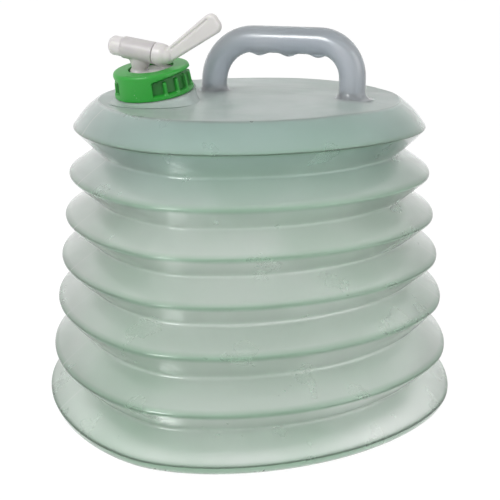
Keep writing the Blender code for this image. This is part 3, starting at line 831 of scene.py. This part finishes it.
@dataclass
class Top:
    """The shoulder, the crowned panel, the neck on its leaning boss and the handle."""

    wall: AccordionBody
    thickness: float = 0.0013
    panel_share: float = 0.86
    panel_margin: float = 0.0010
    shoulder_bulge: float = 0.0016
    shoulder_reach: float = 0.006
    edge_reach: float = 0.0028
    longest: float = 0.0045
    crown: float = 0.0030
    crown_half_y: float = 0.075
    crown_x: tuple[float, float] = (-0.095, 0.100)
    crown_ease: tuple[float, float] = (0.05, 0.025)
    neck_bore: float = 0.0170
    neck_radius: float = 0.0193
    neck_height: float = 0.0101
    boss_x: float = -0.0434
    boss_y: float = -0.0539
    boss_foot: float = 0.0300
    boss_lap: float = 0.0005
    boss_sink: float = 0.0002
    boss_top: float = 0.0273
    boss_steps: int = 12
    boss_hollow: float = 1.6
    boss_narrowing: float = 1.15
    neck_sides: int = 96
    thread_pitch: float = 0.0030
    thread_turns: float = 2.0
    thread_start: float = 0.0022
    thread_height: float = 0.0011
    thread_root: float = 0.0004
    thread_half: float = 0.28
    thread_taper: float = 2.5
    thread_steps: int = 120
    handle_left_x: float = -0.0262
    handle_right_x: float = 0.0740
    handle_radius: float = 0.0088
    handle_wall: float = 0.0018
    handle_rise: float = 0.0385
    handle_sink: float = 0.0010
    left_bend: float = 0.0300
    right_bend: float = 0.0230
    bend_steps: int = 12
    bar_steps: int = 40
    foot_flare: float = 0.0055
    foot_steps: int = 8
    bump_pitch: float = 0.0210
    bump_count: int = 3
    bump_half_length: float = 0.0080
    bump_height: float = 0.0021
    bump_middle_x: float = 0.0290

    def __post_init__(self) -> None:
        """Read the panel's level and the seat from the frame."""
        self.rim_z = self.wall.levels[-1]
        self.panel_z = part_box("top_panel")[1].z
        self.seat_frame = seat_axes()
        self.grip_z = self.panel_z + self.handle_rise

    def level(self, x: float, y: float) -> float:
        """Height of the panel's outer face, which is crowned along the handle's plane."""
        away = max(0.0, 1.0 - (y / self.crown_half_y) ** 2) ** 2
        along = smoothstep((x - self.crown_x[0]) / self.crown_ease[0])
        along *= smoothstep((self.crown_x[1] - x) / self.crown_ease[1])
        return self.panel_z + self.crown * away * along

    def build(self) -> None:
        """Make every piece of the top."""
        self.build_cover()
        self.build_neck()
        self.build_handle()

    def build_cover(self) -> None:
        """Shoulder and panel in one piece, open below the neck's boss."""
        wall = self.wall
        radius = wall.top_half_x
        edge = radius * self.panel_share
        across = Vector((wall.wall_across, 0.0))
        down = Vector((0.0, self.thickness))
        centre = Vector((0.0, self.panel_z))
        crest = Vector((radius, self.rim_z + wall.seam_gap))
        rim = Vector((edge, self.panel_z))
        middle = (crest + rim) / 2.0 + Vector((0.7, 1.0)).normalized() * self.shoulder_bulge
        corners = [(*centre, 0.0), (*rim, self.edge_reach), (*middle, self.shoulder_reach),
                   (*crest, 0.0), (*(crest - across), 0.0),
                   (*(middle - across), self.shoulder_reach),
                   (*(rim - down - across / 3.0), self.edge_reach), (*(centre - down), 0.0)]
        bm = spun(divided(softened(corners, 6), self.longest), wall.steps, closed=False)
        # Painted shade: the colour darkens to deep green at the top crest.
        painted(bm, "crest", lambda place: crest_shade_share(radius, place))
        wall.plan.fit(bm, radius, 0.0, lambda level: radius)
        for vert in bm.verts:
            rise = (vert.co.z - self.rim_z) / (self.panel_z - self.rim_z)
            if rise > 0.0:
                vert.co.z += (self.level(vert.co.x, vert.co.y) - self.panel_z) * rise
        mouth = rod(self.boss_foot - self.boss_lap, -0.006, 0.006,
                    Matrix.Translation(self.boss_place()), self.neck_sides)
        cover = finished("top_cover", cut(bm, mouth), Body.TOP, wall.finishes.body,
                         ["shoulder", "top_panel"])
        cover.data.materials.append(wall.finishes.panel)
        for face in cover.data.polygons:
            x, y, _ = face.center
            reach = edge * wall.plan.reach(math.atan2(y, x))
            face.material_index = int(math.hypot(x, y) < reach - self.panel_margin)

    def boss_place(self) -> Vector:
        """The middle of the boss's level foot."""
        return Vector((self.boss_x, self.boss_y, self.level(self.boss_x, self.boss_y)))

    def boss_rings(self, depth: float) -> list[Matrix]:
        """Frames of unit circles up the boss, from its level foot to its leaning land.

        Args:
            depth: how far inside the boss's skin they lie.

        Returns:
            The frames, scaled to the circles' radii.
        """
        foot = Matrix.Translation(self.boss_place() - Vector((0.0, 0.0, self.boss_sink + depth)))
        land = self.seat_frame @ raised(-depth)
        rings = []
        for step in range(self.boss_steps + 1):
            share = step / self.boss_steps
            place = foot.lerp(land, share ** self.boss_hollow)
            narrower = smoothstep(share * self.boss_narrowing)
            radius = self.boss_foot + (self.boss_top - self.boss_foot) * narrower - depth
            rings.append(place @ widened(radius))
        return rings

    def build_neck(self) -> None:
        """The neck on its boss, a shell with its thread."""
        corners = [(self.boss_top, 0.0, 0.0), (self.neck_radius, 0.0, 0.0015),
                   (self.neck_radius, self.neck_height, 0.0005),
                   (self.neck_bore, self.neck_height, 0.0005),
                   (self.neck_bore, -self.thickness, 0.0)]
        tube = [self.seat_frame @ raised(point.y) @ widened(point.x)
                for point in softened(corners, 4)]
        places = self.boss_rings(0.0) + tube[1:] + self.boss_rings(self.thickness)[::-1]
        neck, rims = swept(places, 1.0, self.neck_sides)
        bmesh.ops.bridge_loops(neck, edges=rims)
        bmesh.ops.recalc_face_normals(neck, faces=neck.faces)
        bm = joined([neck, self.thread()])
        finished("neck_and_boss", bm, Body.TOP, self.wall.finishes.panel, ["neck"])

    def thread(self) -> BMesh:
        """The neck's thread, a closed ridge that climbs as it turns."""
        bm = bmesh.new()
        root = self.neck_radius - self.thread_root
        tip = self.neck_radius + self.thread_height
        half = self.thread_pitch * self.thread_half
        narrow = half / self.thread_taper
        section = ((root, -half), (tip, -narrow), (tip, narrow), (root, half))
        face = bm.faces.new([bm.verts.new((x, 0.0, self.thread_start + z)) for x, z in section])
        rise = self.thread_pitch * self.thread_turns / self.thread_steps
        bmesh.ops.spin(bm, geom=[face], cent=(0.0, 0.0, 0.0), axis=UP,
                       angle=TAU * self.thread_turns, steps=self.thread_steps, use_merge=False,
                       dvec=(0.0, 0.0, rise))
        bmesh.ops.remove_doubles(bm, verts=bm.verts, dist=MERGE)
        bmesh.ops.recalc_face_normals(bm, faces=bm.faces)
        bmesh.ops.transform(bm, matrix=self.seat_frame, verts=bm.verts)
        return bm

    def handle_places(self, flared: bool) -> list[Matrix]:
        """Frames along the handle, from the left foot to the right one.

        Args:
            flared: whether the feet spread where they run into the panel.

        Returns:
            The frames, with X away from the hand and Z along the way.
        """
        left_turn = Vector((self.handle_left_x + self.left_bend, 0.0, self.grip_z - self.left_bend))
        right_turn = Vector((self.handle_right_x - self.right_bend, 0.0,
                             self.grip_z - self.right_bend))
        side = Vector((-1.0, 0.0, 0.0))
        places = self.foot_places(self.handle_left_x, side, UP, flared)
        for turn, bend, start in ((left_turn, self.left_bend, math.pi),
                                  (right_turn, self.right_bend, QUARTER)):
            for step in range(self.bend_steps + 1):
                angle = start - QUARTER * step / self.bend_steps
                away = Vector((math.cos(angle), 0.0, math.sin(angle)))
                places.append(axes(turn + away * bend, away, Vector((away.z, 0.0, -away.x))))
            if turn == left_turn:
                span = right_turn.x - left_turn.x
                for step in range(1, self.bar_steps):
                    point = Vector((left_turn.x + span * step / self.bar_steps, 0.0, self.grip_z))
                    places.append(axes(point, UP, -side))
        places += reversed(self.foot_places(self.handle_right_x, -side, -UP, flared))
        return places

    def foot_places(self, x: float, away: Vector, ahead: Vector, flared: bool) -> list[Matrix]:
        """Frames up one foot of the handle.

        Args:
            x: where the foot stands.
            away: its X axis.
            ahead: its Z axis.
            flared: whether it spreads at the panel.

        Returns:
            The frames, from the panel upwards.
        """
        ground = self.level(x, 0.0) - self.handle_sink
        flare = self.foot_flare
        places = []
        for step in range(self.foot_steps + 1):
            rise = flare * step / self.foot_steps
            spread = flare - math.sqrt(flare ** 2 - (flare - rise) ** 2) if flared else 0.0
            place = axes(Vector((x, 0.0, ground + rise)), away, ahead)
            places.append(place @ widened(1.0 + spread / self.handle_radius))
        return places

    def bump_share(self, x: float) -> float:
        """How far a finger bump stands out below the grip at this place."""
        share = 0.0
        for count in range(self.bump_count):
            middle = self.bump_middle_x + (count - (self.bump_count - 1) / 2.0) * self.bump_pitch
            away = abs(x - middle) / self.bump_half_length
            share = max(share, 0.5 + 0.5 * math.cos(math.pi * min(1.0, away)))
        return share

    def build_handle(self) -> None:
        """The hollow handle with its finger bumps and flared feet."""
        outer, _ = swept(self.handle_places(True), self.handle_radius, 48)
        for vert in outer.verts:
            below = (self.grip_z - vert.co.z) / self.handle_radius
            if 0.0 < below < 1.01:
                vert.co.z -= self.bump_height * self.bump_share(vert.co.x) * below * below
        inner, _ = swept(self.handle_places(False), self.handle_radius - self.handle_wall, 32)
        bm = joined([outer, inner])
        rims = [edge for edge in bm.edges if edge.is_boundary]
        middle = (self.handle_left_x + self.handle_right_x) / 2.0
        for right in (False, True):
            bmesh.ops.bridge_loops(bm, edges=[edge for edge in rims
                                              if (edge.verts[0].co.x >= middle) == right])
        bmesh.ops.recalc_face_normals(bm, faces=bm.faces)
        finished("carrying_handle", bm, Body.TOP, self.wall.finishes.handle,
                 ["handle"])


# The closure


@dataclass
class ScrewRing:
    """The green ring that clamps the tap on the neck."""

    finishes: Finishes
    foot: float = 0.0003
    top: float = 0.0166
    top_radius: float = 0.0248
    foot_radius: float = 0.0261
    window: float = 0.0150
    bore: float = 0.0212
    ceiling: float = 0.0143
    edge: float = 0.0020
    skin: float = 0.001
    longest: float = 0.0007
    steps: int = 480
    grip_start: float = math.radians(-62.5)
    grip_span: float = math.radians(123.0)
    grip_depth: float = 0.0024
    grip_ease: float = 0.0007
    lip: float = 0.0024
    lip_ease: float = 0.0010
    brow: float = 0.70          # the grip's upper edge at its ends, as a share of the height
    brow_arch: float = 0.18
    brow_roundness: float = 0.7
    brow_ease: float = 0.0012
    rib_count: int = 5
    rib_half_width: float = 0.0008
    rib_height: float = 0.85
    rib_drop: float = 0.0022

    def build(self) -> None:
        """Turn the ring and press its grips in."""
        corners = [
            (self.window, self.top, 0.0),
            (self.top_radius, self.top, self.edge),
            (self.foot_radius, self.foot, 0.0008),
            (self.bore, self.foot, 0.0004),
            (self.bore, self.ceiling, 0.0),
            (self.window, self.ceiling, 0.0),
        ]
        bm = spun(divided(softened(corners, 6), self.longest), self.steps, closed=True)
        # Painted shade: each vertex's share of the darker green painted into the pressed grips.
        recess_shade = bm.verts.layers.float.new("recess_shade")
        for vert in bm.verts:
            radius = math.hypot(vert.co.x, vert.co.y)
            if radius > self.bore + self.skin:
                depth = self.press(math.atan2(vert.co.y, vert.co.x), vert.co.z)
                vert[recess_shade] = smoothstep(depth / self.grip_depth)
                less = 1.0 - depth / radius
                vert.co.x *= less
                vert.co.y *= less
        bmesh.ops.transform(bm, matrix=seat_axes(), verts=bm.verts)
        finished("green_screw_ring", bm, Body.RING, self.finishes.ring, ["screw_ring"])

    def press(self, angle: float, level: float) -> float:
        """How deep the grip is pressed in at a place on the ring's outside."""
        turned = (angle - self.grip_start) % math.pi
        if turned > self.grip_span:
            return 0.0
        arch = math.sin(math.pi * turned / self.grip_span) ** self.brow_roundness
        brow = self.foot + (self.top - self.foot) * (self.brow + self.brow_arch * arch)
        side = min(turned, self.grip_span - turned) * self.foot_radius
        inside = smoothstep(side / self.grip_ease)
        inside *= smoothstep((level - self.foot - self.lip) / self.lip_ease)
        inside *= smoothstep((brow - level) / self.brow_ease)
        pitch = self.grip_span / (self.rib_count + 1)
        nearest = round(turned / pitch)
        if 1 <= nearest <= self.rib_count:
            away = abs(turned - nearest * pitch) * self.foot_radius
            rib = smoothstep((self.rib_half_width * 2.0 - away) / self.rib_half_width)
            below = smoothstep((brow - self.rib_drop - level) / self.lip_ease)
            inside *= 1.0 - self.rib_height * rib * below
        return self.grip_depth * inside


@dataclass
class Tap:
    """Tap body with flange, stem and barrel, the key with its lever, and the spout."""

    finishes: Finishes
    flange_radius: float = 0.0198
    flange_low: float = 0.0122
    flange_high: float = 0.0140
    stem_length: float = 0.0139
    stem_radius: float = 0.0053
    stem_lap: float = 0.001
    collar_flare: float = 0.0014
    collar_height: float = 0.0022
    collar_lift: float = 0.0008
    saddle_waist: float = 0.0004
    saddle_flare: float = 0.0016
    saddle_height: float = 0.0060
    saddle_lap: float = 0.0002
    saddle_stretch: tuple[float, float] = (1.3, 0.80)
    barrel_radius: float = 0.0071
    barrel_length: float = 0.0230
    plug_radius: float = 0.0051
    plug_lap: float = 0.002
    play: float = 0.0003
    port_radius: float = 0.0027
    port_length: float = 0.008
    hub_radius: float = 0.0071
    hub_reach: float = 0.0040
    root_share: float = 0.80
    root_place: float = 0.9
    lever_foot: tuple[float, float] = (0.0041, -0.0009)
    lever_angle: float = math.radians(40.5)
    lever_length: float = 0.0460
    lever_foot_width: float = 0.0082
    lever_tip_width: float = 0.0131
    lever_thickness: float = 0.0054
    lever_corner: float = 0.0048
    lever_edge: float = 0.0016
    corner_steps: int = 8
    groove_radius: float = 0.0009
    groove_start: float = 0.007
    groove_out: float = 0.25
    groove_up: float = 0.22
    groove_slant: float = 0.8
    spout_radius: float = 0.0063
    spout_length: float = 0.0091
    spout_bore: float = 0.0042
    voxel: float = 0.00035
    key_voxel: float = 0.0002975

    def __post_init__(self) -> None:
        """Read the tap's axis from the frame."""
        point, axis = joint_axis("tap_turn")
        _, neck_axis = joint_axis("ring_turn")
        self.frame = axes(point, axis, neck_axis - axis * neck_axis.dot(axis))
        self.along = self.frame @ tilted(QUARTER)
        self.half = self.barrel_length / 2.0

    def build(self) -> None:
        """Make every piece of the tap."""
        self.build_body()
        self.build_key()
        self.build_spout()

    def build_body(self) -> None:
        """Flange, stem and barrel in one soft-cornered moulding, bored for the plug."""
        flange = rod(self.flange_radius, self.flange_low, self.flange_high, seat_axes())
        stem = rod(self.stem_radius, -self.stem_length - self.stem_lap, 0.0, self.frame)
        low = self.collar_lift - self.stem_length - self.collar_height / 2.0
        collar = rod(self.stem_radius + self.collar_flare, low, low + self.collar_height,
                     self.frame, 48, self.stem_radius)
        under = self.frame @ raised(self.saddle_lap - self.barrel_radius)
        saddle = rod(self.stem_radius - self.saddle_waist, -self.saddle_height / 2.0,
                     self.saddle_height / 2.0,
                     under @ Matrix.Diagonal((*self.saddle_stretch, 1.0, 1.0)), 48,
                     self.stem_radius + self.saddle_flare)
        barrel = rod(self.barrel_radius, -self.half, self.half, self.along)
        bm = moulded([flange, stem, collar, saddle, barrel], self.voxel, 6)
        bore = rod(self.plug_radius + self.play, -self.half - CUT_PAST, self.half + CUT_PAST,
                   self.along)
        finished("tap_barrel_and_stem", cut(bm, bore), Body.TAP, self.finishes.tap,
                 ["tap_body"])

    def lever(self) -> BMesh:
        """The lever: a thick bar with rounded edges and one long groove in each broad side.

        Returns:
            The closed bar in the tap's frame.
        """
        bm = bmesh.new()
        reach = self.lever_length - self.lever_corner
        lift = self.lever_tip_width / 2.0 - self.lever_corner
        outline = [(0.0, -self.lever_foot_width / 2.0)]
        for side, first in ((-1.0, -QUARTER), (1.0, 0.0)):
            for step in range(self.corner_steps + 1):
                angle = first + QUARTER * step / self.corner_steps
                outline.append((reach + self.lever_corner * math.cos(angle),
                                side * lift + self.lever_corner * math.sin(angle)))
        outline.append((0.0, self.lever_foot_width / 2.0))
        half = self.lever_thickness / 2.0
        near = bm.faces.new([bm.verts.new((x, -half, z)) for x, z in outline])
        grown = bmesh.ops.extrude_face_region(bm, geom=[near])["geom"]
        far_verts = [item for item in grown if isinstance(item, BMVert)]
        bmesh.ops.translate(bm, verts=far_verts, vec=(0.0, self.lever_thickness, 0.0))
        rim = [edge for edge in bm.edges if abs(edge.verts[0].co.y - edge.verts[1].co.y) < half]
        bmesh.ops.bevel(bm, geom=rim, offset=self.lever_edge, segments=4, affect='EDGES',
                        profile=0.5, material=-1)
        bmesh.ops.recalc_face_normals(bm, faces=bm.faces)
        slant = math.atan2(self.lever_tip_width - self.lever_foot_width, 2.0 * reach)
        for side in (-1.0, 1.0):
            start = Matrix.Translation((0.0, side * (half + self.groove_radius * self.groove_out),
                                        self.lever_foot_width * self.groove_up))
            turn = tilted(QUARTER - slant * self.groove_slant)
            bm = cut(bm, rod(self.groove_radius, self.groove_start, reach, start @ turn, 24))
        foot_x, foot_z = self.lever_foot
        place = Matrix.Translation((self.half + self.play + self.hub_reach + foot_x, 0.0, foot_z))
        bmesh.ops.transform(bm, matrix=self.frame @ place @ tilted(-self.lever_angle),
                            verts=bm.verts)
        return bm

    def build_key(self) -> None:
        """Plug, hub and lever in one moulding."""
        end = self.half + self.play
        hub_x = end + self.hub_reach
        collar = rod(self.hub_radius, end, hub_x, self.along)
        dome = ball(self.hub_radius, self.along @ raised(hub_x), 48, 32)
        behind = [vert for vert in dome.verts
                  if (self.along.inverted() @ vert.co).z < end + 0.001]
        bmesh.ops.delete(dome, geom=behind, context='VERTS')
        bmesh.ops.holes_fill(dome, edges=dome.edges[:])
        middle = Matrix.Translation((hub_x + self.lever_foot[0] * self.root_place, 0.0, 0.0))
        root = ball(self.hub_radius * self.root_share, self.frame @ middle, 32, 24)
        bm = moulded([collar, dome, root, self.lever()], self.key_voxel, 5)
        plug = rod(self.plug_radius, -self.half, self.half + self.plug_lap, self.along)
        port = rod(self.port_radius, 0.0, self.port_length,
                   self.frame @ Matrix.Rotation(QUARTER, 4, 'X'))
        bm = joined([bm, cut(plug, port)])
        finished("tap_key_and_lever", bm, Body.KEY, self.finishes.key, ["tap_key"])

    def build_spout(self) -> None:
        """The outlet, rounded at its mouth."""
        corners = [
            (self.spout_bore, 0.0, 0.0),
            (self.spout_bore, self.spout_length, 0.0006),
            (self.spout_radius, self.spout_length, 0.0030),
            (self.spout_radius, 0.0, 0.0),
        ]
        bm = spun(softened(corners, 7), 72, closed=True)
        turn = Matrix.Translation((-self.half - self.play, 0.0, 0.0)) @ tilted(-QUARTER)
        bmesh.ops.transform(bm, matrix=self.frame @ turn, verts=bm.verts)
        finished("tap_spout", bm, Body.KEY, self.finishes.key, ["spout"])


# The studio


@dataclass
class Studio:
    """Floor, soft light and the camera at the photograph's angle."""

    target: Vector = Vector((0.0, 0.0, 0.0976))
    distance: float = 0.6854
    turn: float = math.radians(24.5)
    elevation: float = math.radians(16.9)
    lens: float = 68.54
    shift_x: float = 0.002
    floor_size: float = 30.0
    floor_grey: float = 0.86
    floor_glow: float = 1.09
    floor_glow_share: float = 0.88
    world_light: float = 0.55
    # name; right, ahead and up from the target, as the camera looks; size; power
    softboxes: tuple[tuple[str, Triple, float, float], ...] = (
        ("key_softbox", (-0.75, -0.85, 0.85), 0.42, 9.0),
        ("fill_softbox", (1.2, -0.6, 0.7), 1.0, 5.0))

    def build(self) -> None:
        """Make everything round the container."""
        self.build_camera()
        self.build_floor()
        self.build_world()
        for softbox in self.softboxes:
            self.build_lamp(*softbox)
        bpy.context.scene.view_settings.view_transform = 'Standard'

    def build_camera(self) -> None:
        """The camera, level and looking at the target."""
        data = bpy.data.cameras.new("camera")
        data.lens = self.lens
        data.sensor_width = 36.0
        data.shift_x = self.shift_x
        camera = placed("camera", data)
        away = Vector((math.sin(self.turn) * math.cos(self.elevation),
                       -math.cos(self.turn) * math.cos(self.elevation), math.sin(self.elevation)))
        camera.location = self.target + away * self.distance
        camera.rotation_euler = (-away).to_track_quat('-Z', 'Y').to_euler()
        bpy.context.scene.camera = camera

    def build_lamp(self, name: str, place: Triple, size: float, power: float) -> None:
        """A square lamp that faces the container."""
        data = bpy.data.lights.new(name, 'AREA')
        data.shape = 'SQUARE'
        data.size = size
        data.energy = power
        right = Vector((math.cos(self.turn), math.sin(self.turn), 0.0))
        ahead = Vector((-math.sin(self.turn), math.cos(self.turn), 0.0))
        lamp = placed(name, data)
        lamp.location = self.target + right * place[0] + ahead * place[1] + UP * place[2]
        lamp.rotation_euler = (self.target - lamp.location).to_track_quat('-Z', 'Y').to_euler()

    def seen_directly(self, nodes: Nodes) -> NodeSocket:
        """1 where a ray comes from the camera, a reflection or through the plastic."""
        path = nodes.add("ShaderNodeLightPath").outputs
        seen = nodes.math('MAXIMUM', path["Is Camera Ray"], path["Is Glossy Ray"])
        return nodes.math('MAXIMUM', seen, path["Is Transmission Ray"])

    def build_floor(self) -> None:
        """The pale floor, which keeps a soft shadow."""
        bm = bmesh.new()
        bmesh.ops.create_grid(bm, x_segments=1, y_segments=1, size=self.floor_size / 2.0)
        floor = placed("studio_floor", mesh_of("studio_floor", bm))
        material = bpy.data.materials.new("studio_floor")
        material.use_nodes = True
        tree = material.node_tree
        nodes = Nodes(tree)
        shader = tree.nodes["Principled BSDF"]
        shader.inputs["Base Color"].default_value = (*(self.floor_grey,) * 3, 1.0)
        shader.inputs["Roughness"].default_value = 0.9
        shader.inputs["Specular IOR Level"].default_value = 0.0
        glow = nodes.add("ShaderNodeEmission", WHITE, self.floor_glow)
        share = nodes.math('MULTIPLY', self.seen_directly(nodes), self.floor_glow_share)
        mix = nodes.add("ShaderNodeMixShader", share, shader.outputs[0], glow.outputs[0])
        nodes.put(mix.outputs[0], tree.nodes["Material Output"].inputs["Surface"])
        floor.data.materials.append(material)

    def build_world(self) -> None:
        """Even light, white where it is seen."""
        world = bpy.data.worlds.new("studio")
        world.use_nodes = True
        bpy.context.scene.world = world
        nodes = Nodes(world.node_tree)
        ground = world.node_tree.nodes["Background"]
        ground.inputs["Color"].default_value = WHITE
        strength = nodes.ramp(self.seen_directly(nodes), 0.0, 1.0, self.world_light, 1.0)
        nodes.put(strength, ground.inputs["Strength"])


def main() -> None:
    """Build the container and its studio."""
    logging.basicConfig(level=logging.INFO, format="%(name)s: %(message)s")
    finishes = Finishes.mixed()
    wall = AccordionBody(Plan(), finishes)
    wall.build()
    Base(wall).build()
    Top(wall).build()
    ScrewRing(finishes).build()
    Tap(finishes).build()
    washer = frame["nodes"]["sealing_washer"]
    washer.data.materials.clear()
    washer.data.materials.append(finishes.washer)
    Studio().build()


if __name__ == "__main__":
    main()
